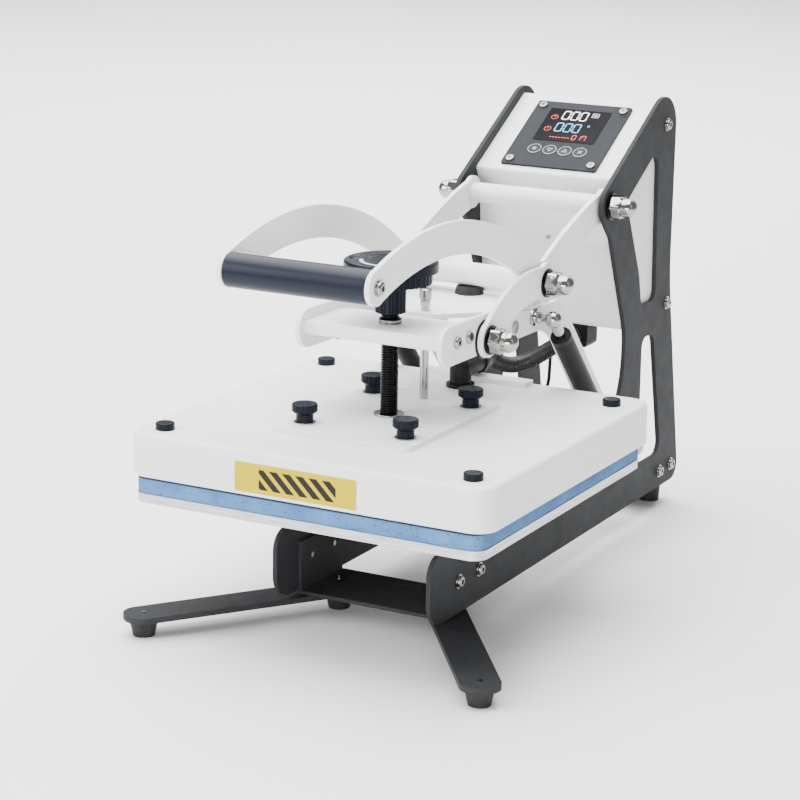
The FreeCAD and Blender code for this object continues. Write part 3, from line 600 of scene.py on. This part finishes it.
# ---------------------------------------------------------------- pressure screw and guide pin
def threaded(bm, x, y, low, high, core, crest, pitch):
    """Adds a helical V thread with flattened crests round an upright axis; sizes in millimetres."""
    sides, rings_per_pitch = 48, 8
    count = int((high - low) / pitch * rings_per_pitch)
    rings = []
    for i in range(count + 1):
        z = low + (high - low) * i / count
        ring = []
        for k in range(sides):
            phase = (z / pitch - k / sides) % 1.0
            ridge = min(1.0, max(0.0, 2.6 * (1 - abs(2 * phase - 1)) - 0.8))
            reach = core + (crest - core) * ridge
            angle = 2 * math.pi * k / sides
            ring.append(bm.verts.new(mm(x + reach * math.cos(angle), y + reach * math.sin(angle), z)))
        rings.append(ring)
    closed_form(bm, rings)


def pressure_screw():
    """The black threaded rod and its flanged collar on the crossbar."""
    rod = bmesh.new()
    low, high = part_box("pressure_screw")[0].z / MM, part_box("pressure_knob")[0].z / MM
    threaded(rod, SCREW_X / MM, SCREW_Y / MM, low, high, core=7.5, crest=9.0, pitch=2.5)
    rod = finish_mesh("pressure_screw_thread", rod, "oxide", 50)
    settle(rod, "pressure_screw", "black_steel", "pressure_screw")
    collar = bmesh.new()
    top_of_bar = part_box("crossbar")[1].z
    profile = [
        (0, 9.1), (0, 11.0), (0.6, 11.5), (1.6, 11.5), (2.2, 10.6), (3.0, 10.6), (3.6, 11.3),
        (4.6, 11.3), (5.2, 10.2), (5.8, 9.6), (5.8, 9.1),
    ]
    turned(collar, (SCREW_X, SCREW_Y, top_of_bar), (0, 0, 1), profile, closed=True)
    settle(finish_mesh("crossbar_collar", collar, "oxide"), "main_arm", "black_steel")


def guide_pin():
    """The chrome guide pin: a smooth shank, a round collar and a socket head, as depths below its top."""
    low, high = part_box("guide_pin")
    x, y = middle("guide_pin").xy
    pin = bmesh.new()
    shank = [((high.z - low.z) / MM, 4.4), (18.5, 4.4), (18.3, 5.0)]
    collar = [(17.8, 5.3), (12.4, 5.3), (12.0, 4.9), (11.4, 4.9), (11.0, 5.8)]
    head = [(10.6, 6.4), (1.2, 6.4), (0.3, 5.7), (0, 4.6)]
    socket = [(0, 3.4, 6.0), (4.5, 3.4, 6.0)]
    stations = [(-depth, *radii) for depth, *radii in shank + collar + head + socket]
    turned(pin, (x, y, high.z), (0, 0, 1), stations, sides=60)
    settle(finish_mesh("guide_pin_turned", pin, "chrome"), "heat_platen", "chrome", "guide_pin")


# ---------------------------------------------------------------- gas struts
def struts():
    """Both struts: plated ball sockets and necks, a black collar and a painted body."""
    low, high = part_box("strut_cylinder_right")
    side = (low.x + high.x) / 2
    axis = Vector(JOINTS["strut_stroke"]["axis"]).normalized()
    for word, x in (("right", side), ("left", -side)):
        origin = (x, *STRUT_TOP)
        node = "strut_cylinder_" + word
        socket = bmesh.new()
        stations = arc(0, 8.8, 176, 45, 12) + [(6.4, 5.9), (28.5, 5.9), (29.0, 5.4)]
        turned(socket, origin, axis, stations)
        settle(finish_mesh("strut_socket_" + word, socket, "chrome"), "strut_cylinders", "chrome", node)
        collar = bmesh.new()
        collar_profile = [(27.6, 6.0), (27.6, 10.4), (28.6, 11.2), (34.2, 11.2), (34.6, 10.9), (34.6, 6.0)]
        turned(collar, origin, axis, collar_profile, closed=True)
        settle(finish_mesh("strut_collar_" + word, collar, "black"), "strut_cylinders", "black_steel", node)
        body = bmesh.new()
        far_end = [(147.6, 11.0), (148.4, 10.4), (148.9, 8.6), (148.9, 4.4), (144.0, 4.4)]
        turned(body, origin, axis, [(34.0, 10.6), (34.4, 11.0)] + far_end)
        settle(finish_mesh("strut_body_" + word, body, "dark_paint"), "strut_cylinders", "black_steel", node)


def strut_studs():
    """The plated ball studs on the main arm that the struts hang on."""
    bm = bmesh.new()
    inside_socket = 13.0
    reach = (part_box("strut_studs")[1].x - ARM_FACE) / MM - inside_socket
    flange = [(0, 8.6), (0.4, 9.3), (2.2, 9.3), (2.8, 8.4)]
    neck = [(3.2, 6.2), (4.4, 5.6), (7.5, 6.4), (9.2, 5.2), (10.5, 4.2), (reach, 4.0)]
    both_sides(lambda *place: turned(*place, flange + neck), bm, ARM_FACE, *STRUT_TOP)
    settle(finish_mesh("strut_ball_studs", bm, "chrome"), "main_arm", "screw_steel", "strut_studs")


# ---------------------------------------------------------------- conduit
def conduit_line():
    """Close points along the conduit's middle, from the elbow to the gland."""
    start_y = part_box("elbow_fitting")[1].y / MM + 0.3
    route = [
        (0, start_y, 230.5), (0, 39.5, 230.5), (1, 69.5, 216), (4, 98.5, 208.5),
        (9, 127.5, 209), (16, 154.5, 215), (27, 179.5, 224.5), (27, 203.2, 224.5),
    ]
    data = bpy.data.curves.new("conduit_route", "CURVE")
    data.dimensions = "3D"
    data.resolution_u = 40
    spline = data.splines.new("NURBS")
    spline.points.add(len(route) - 1)
    for point, place in zip(spline.points, route):
        point.co = (*mm(*place), 1.0)
    spline.order_u = 3
    spline.use_endpoint_u = True
    carrier = bpy.data.objects.new("conduit_route", data)
    SCENE.collection.objects.link(carrier)
    line = bpy.data.meshes.new_from_object(carrier)
    points = [v.co.copy() for v in line.vertices]
    bpy.data.objects.remove(carrier)
    bpy.data.meshes.remove(line)
    return points


def conduit_rings(points, pitch, cuff):
    """Rings of points along the line, each as (distance, ring): a smooth cuff and then corrugations."""
    rings_per_pitch, cuff_rings, sides = 8, 12, 36
    cuff_radius, groove_radius, ridge_height = 7.8, 7.0, 2.0
    travelled = [0.0]
    for before, after in zip(points, points[1:]):
        travelled.append(travelled[-1] + (after - before).length)
    total = travelled[-1]
    steps = int((total - cuff) / pitch * rings_per_pitch)
    spots = [cuff * k / cuff_rings for k in range(cuff_rings)]
    spots += [cuff + (total - cuff) * k / steps for k in range(steps + 1)]
    rings = []
    index = 0
    for spot in spots:
        while index < len(points) - 2 and travelled[index + 1] < spot:
            index += 1
        share = (spot - travelled[index]) / (travelled[index + 1] - travelled[index])
        centre = points[index].lerp(points[index + 1], share)
        low, high = max(index - 1, 0), min(index + 2, len(points) - 1)
        heading = (points[high] - points[low]).normalized()
        side = heading.cross(Vector((0, 0, 1))).normalized()
        up = side.cross(heading)
        wave = 0.5 + 0.5 * math.cos(2 * math.pi * (spot - cuff) / pitch)
        radius = (cuff_radius if spot < cuff else groove_radius + ridge_height * wave ** 0.7) * MM
        ring = []
        for k in range(sides):
            angle = 2 * math.pi * k / sides
            ring.append(centre + (side * math.cos(angle) + up * math.sin(angle)) * radius)
        rings.append((spot, ring))
    return rings


def conduit():
    """The corrugated conduit from the elbow to the gland, in two pieces: the smooth cuff end with its first
    corrugations, and the rest."""
    pitch, cuff = 3.8 * MM, 26 * MM
    split_at = cuff + 5.5 * pitch
    rings = conduit_rings(conduit_line(), pitch, cuff)
    split = next(k for k, (spot, _) in enumerate(rings) if spot > split_at)
    for name, part in (("conduit_cuff", rings[:split + 1]), ("conduit_corrugated", rings[split:])):
        bm = bmesh.new()
        closed_form(bm, [[bm.verts.new(point) for point in ring] for _, ring in part])
        hose = finish_mesh(name, bm, "hose", 50)
        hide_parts("conduit")
        if name == "conduit_cuff":
            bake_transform(hose)
        else:
            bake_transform(hose)


# ---------------------------------------------------------------- silicone pad
def pad():
    """The sponge sheet on the lower platen, with soft cut edges and a very slightly uneven side."""
    low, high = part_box("silicone_pad")
    corner, spacing = 15.0 * MM, 8 * MM
    outline = rounded_corners(low.xy, high.xy, corner, 12)
    dense = []
    for (centre, out), (next_centre, next_out) in zip(outline, outline[1:] + outline[:1]):
        start, end = centre + out * corner, next_centre + next_out * corner
        pieces = max(1, int((end - start).length / spacing))
        for k in range(pieces):
            dense.append((start.lerp(end, k / pieces), out.lerp(next_out, k / pieces).normalized()))
    bm = bmesh.new()
    thick = high.z - low.z
    unevenness = 0.25
    profile = [(0.0, 0.9), (0.06, 0.35), (0.2, 0.1), (0.5, 0.0), (0.8, 0.1), (0.93, 0.4), (1.0, 1.1)]
    rings = []
    for share, inset in profile:
        ring = []
        for spot, outward in dense:
            ripple = unevenness * noise.noise(Vector((spot.x * 60, spot.y * 60, share * 3)))
            place = spot - outward * (inset + unevenness + ripple) * MM
            ring.append(bm.verts.new((place.x, place.y, low.z + thick * share)))
        rings.append(ring)
    closed_form(bm, rings)
    sheet = finish_mesh("silicone_pad_sponge", bm, "sponge", 60)
    settle(sheet, "frame", "silicone", "silicone_pad")


# ---------------------------------------------------------------- control panel
def on_panel(x, up, out):
    """A point of the sloping panel: millimetres across, up the slope from its lower edge, and out of it."""
    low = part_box("control_panel")[0]
    thick = PANEL_THICK * MM
    start = Vector((0, low.y + thick * math.sin(SLOPE), low.z))
    along = Vector((0, math.cos(SLOPE), math.sin(SLOPE)))
    outward = Vector((0, -math.sin(SLOPE), math.cos(SLOPE)))
    return start + Vector((x * MM, 0, 0)) + along * up * MM + outward * (thick + out * MM)


def flat_shape(bm, corners, low, high):
    """A thin plate on the panel with the given outline as (across, up), between two heights."""
    rings = [[bm.verts.new(on_panel(x, up, out)) for x, up in corners] for out in (low, high)]
    closed_form(bm, rings)


def flat_ring(bm, x, up, radius, width, low, high, sides=40):
    """A thin raised ring on the panel."""
    rings = []
    for reach, out in ((radius, low), (radius, high), (radius - width, high), (radius - width, low)):
        ring = []
        for k in range(sides):
            angle = 2 * math.pi * k / sides
            spot = on_panel(x + reach * math.cos(angle), up + reach * math.sin(angle), out)
            ring.append(bm.verts.new(spot))
        rings.append(ring)
    bridge(bm, rings, closed=True)


SEGMENTS = {"0": "abcdef", "1": "bc", "7": "abcf"}


def digits(bm, text, left, low, width, height, stroke, out):
    """Seven-segment numerals; every segment is a bar with pointed ends."""
    pitch, half = width * 1.4, height / 2
    for place, sign in enumerate(text):
        x = left + place * pitch
        bars = {
            "a": ((x, low + height), (x + width, low + height)),
            "b": ((x + width, low + half), (x + width, low + height)),
            "c": ((x + width, low), (x + width, low + half)),
            "d": ((x, low), (x + width, low)),
            "e": ((x, low), (x, low + half)),
            "f": ((x, low + half), (x, low + height)),
        }
        for letter in SEGMENTS[sign]:
            start, end = (Vector(p) for p in bars[letter])
            along = (end - start).normalized()
            across = Vector((-along.y, along.x)) * stroke / 2
            gap, tip = along * stroke / 4, along * stroke / 2
            start, end = start + gap, end - gap
            first, last = start + tip, end - tip
            outline = [start, first + across, last + across, end, last - across, first - across]
            flat_shape(bm, [tuple(p) for p in outline], out, out + LIT)


def thin_bar(bm, start, end, low, high):
    """A straight raised line between two points of the panel."""
    width = 0.7
    a, b = Vector(start), Vector(end)
    across = Vector((-(b - a).y, (b - a).x)).normalized() * width / 2
    flat_shape(bm, [tuple(p) for p in (a - across, b - across, b + across, a + across)], low, high)


def upright_box(left, low, right, high):
    """The corners of an upright rectangle as (across, up)."""
    return [(left, low), (right, low), (right, high), (left, high)]


def display():
    """Numerals and small signs behind the smoked window, shown just proud of it."""
    out = 0.5
    lower = PANEL_LOW
    white = bmesh.new()
    digits(white, "000", -17.6, 93.6 - lower, 7.6, 14.6, 1.3, out)
    settle(finish_mesh("display_white", white, "white_light"), "frame", "screen")
    blue = bmesh.new()
    digits(blue, "000", -18.0, 71.8 - lower, 7.6, 14.6, 1.3, out)
    flat_ring(blue, 19.6, 84.6 - lower, 1.5, 0.6, out, out + LIT)
    settle(finish_mesh("display_blue", blue, "blue_light"), "frame", "screen")
    red = bmesh.new()
    digits(red, "017", 8.2, 58.9 - lower, 4.2, 8.0, 0.85, out)
    for up in (96.5, 75.2):
        flat_ring(red, -26.8, up - lower, 4.1, 0.55, out, out + LIT)
        flat_shape(red, upright_box(-27.2, up - lower - 0.2, -26.4, up - lower + 2.4), out, out + LIT)
    for k in range(7):
        x = -18.6 + k * 3.6
        flat_shape(red, upright_box(x, 60.4 - lower, x + 2.2, 61.5 - lower), out, out + LIT)
    settle(finish_mesh("display_red", red, "red_light"), "frame", "screen")
    grey = bmesh.new()
    frame_outline = upright_box(16.6, 101.2 - lower, 24.2, 107.8 - lower)
    for start, end in zip(frame_outline, frame_outline[1:] + frame_outline[:1]):
        thin_bar(grey, start, end, out, out + LIT)
    flat_ring(grey, 20.4, 104.5 - lower, 1.9, 0.7, out, out + LIT)
    settle(finish_mesh("display_grey", grey, "print"), "frame", "screen")


def button_marks():
    """Thin printed circles round the touch buttons, with a plain sign in each."""
    bm = bmesh.new()
    up = 38.5 - PANEL_LOW
    out, top = 0.6, 0.68
    places = (-27.6, -9.2, 9.2, 27.6)
    for x in places:
        flat_ring(bm, x, up, 7.7, 0.42, -0.02, top, 56)
    flat_ring(bm, places[0], up, 2.2, 0.8, out, top)
    for x, turn in ((places[1], -1), (places[2], 1)):
        base = up - 2.4 * turn
        corners = [Vector((x - 3.4, base)), Vector((x + 3.4, base)), Vector((x, up + 3.4 * turn))]
        centre = sum(corners, Vector((0, 0))) / 3
        inner = [centre + (p - centre) * 0.74 for p in corners]
        for k in range(3):
            n = (k + 1) % 3
            flat_shape(bm, [tuple(p) for p in (corners[k], corners[n], inner[n], inner[k])], out, top)
    for turn in (1, -1):
        thin_bar(bm, (places[3] - 2.4, up - 2.4 * turn), (places[3] + 2.4, up + 2.4 * turn), out, top)
    settle(finish_mesh("button_marks", bm, "print"), "frame", "panel_plastic")


def housing_screw():
    """The small screw low on the housing's front."""
    bm = bmesh.new()
    profile = [(-1.5, 3.4), (0.6, 3.4), (1.2, 2.9), (1.5, 1.8), (1.5, 1.0), (0.9, 0.9)]
    turned(bm, mm(0, 185, 338), (0, -1, 0.12), profile)
    settle(finish_mesh("housing_screw", bm, "steel"), "frame", "screw_steel")


# ---------------------------------------------------------------- knob arrow and label
def knob_arrow():
    """The curved white arrow printed in the pressure knob's dish."""
    bm = bmesh.new()
    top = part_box("pressure_knob")[1].z - 1.6 * MM
    steps = 26

    def at(radius, degrees, z):
        angle = math.radians(degrees)
        reach = radius * MM
        return bm.verts.new((SCREW_X + reach * math.cos(angle), SCREW_Y + reach * math.sin(angle), z))

    line, half_line, half_head = 29.6, 1.9, 4.9
    tail, neck, tip = 200, 310, 322
    sweep = [tail + (neck - tail) * k / steps for k in range(steps + 1)]
    outline = [(line + half_line, degrees) for degrees in sweep]
    outline += [(line + half_head, neck), (line, tip), (line - half_head, neck)]
    outline += [(line - half_line, degrees) for degrees in reversed(sweep)]
    rings = [[at(radius, degrees, z) for radius, degrees in outline] for z in (top, top + LIT * MM)]
    closed_form(bm, rings)
    settle(finish_mesh("knob_arrow", bm, "print"), "pressure_screw", "knob_plastic")


def cover_label():
    """The yellow sticker on the cover's front, with bars in place of words."""
    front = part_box("platen_cover")[0].y
    bm = bmesh.new()
    corner = 2.0 * MM
    outline = [centre + out * corner
               for centre, out in rounded_corners(mm(-72, 171.3), mm(61, 200.6), corner, 6)]
    rings = [[bm.verts.new((x, y, z)) for x, z in outline] for y in (front + 0.02 * MM, front - 0.18 * MM)]
    closed_form(bm, rings)
    settle(finish_mesh("cover_label", bm, "label"), "heat_platen", "white_coat")


def soften_edges():
    """Rounds the sheet-metal nodes' edges a little, as powder coat does."""
    for name in NODE_LOOKS["white"] + NODE_LOOKS["charcoal"]:
        node = frame["nodes"][name]
        weld = node.modifiers.new("weld", "WELD")
        weld.merge_threshold = 0.02 * MM
        bevel = node.modifiers.new("soft_edges", "BEVEL")
        bevel.width = 0.5 * MM
        bevel.segments = 2
        bevel.limit_method = "ANGLE"
        bevel.angle_limit = math.radians(50)
        bevel.harden_normals = False


def dress_nodes():
    """Gives every node of the model its look."""
    for look, names in NODE_LOOKS.items():
        for name in names:
            for slot in frame["nodes"][name].material_slots:
                slot.material = LOOKS[look]


camera()
studio()
dress_nodes()
pivots()
pressure_screw()
guide_pin()
struts()
strut_studs()
conduit()
pad()
display()
button_marks()
housing_screw()
knob_arrow()
cover_label()
soften_edges()
